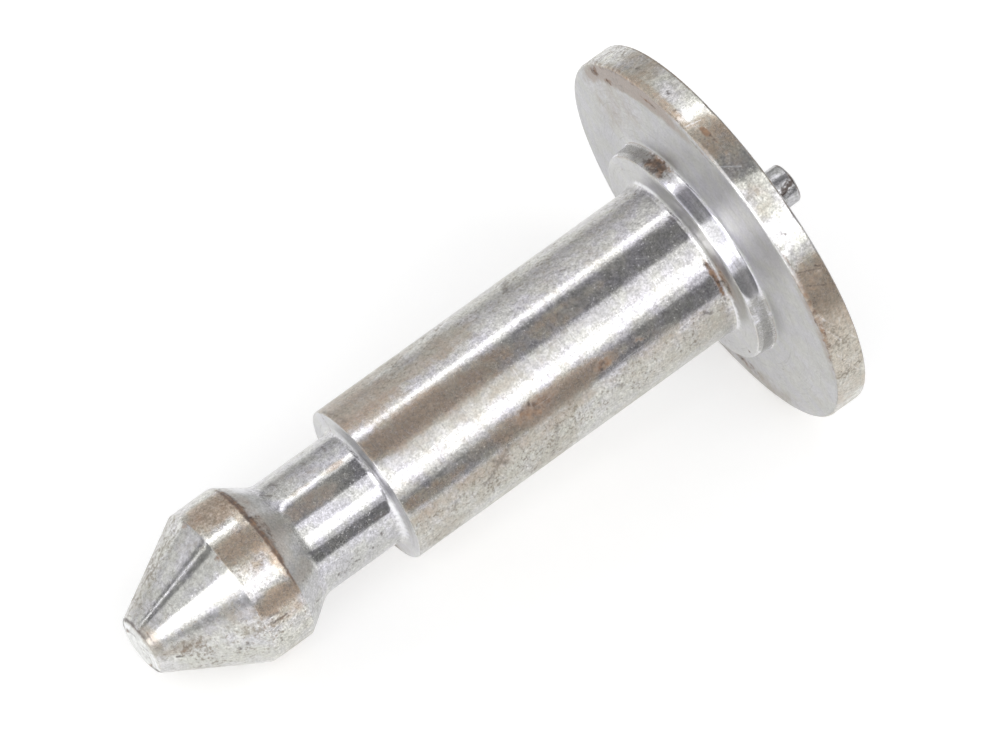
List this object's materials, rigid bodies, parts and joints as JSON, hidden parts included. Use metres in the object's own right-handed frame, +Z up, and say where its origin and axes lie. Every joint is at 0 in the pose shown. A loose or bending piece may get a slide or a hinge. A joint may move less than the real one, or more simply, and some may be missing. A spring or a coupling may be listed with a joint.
{
  "type": "seat pin",
  "caption": "Turned steel seat latch pin: a coned head and catch neck on a straight shank, with a collar, a round flange and a short centre stub.",
  "frame": {"origin": "middle of the pin's footprint, on the surface that it lies on", "axes": "+X along the pin from its nose to its flange as seen from above, +Z up; the pin's own axis rises 11.76 degrees towards the flange"},
  "size_m": [0.0733, 0.039, 0.0387],
  "materials": {
    "steel": "bare turned steel, worn and lightly pitted, with thin brown rust stains"
  },
  "bodies": {
    "root": {"seat_pin": "steel"}
  },
  "joints": []
}
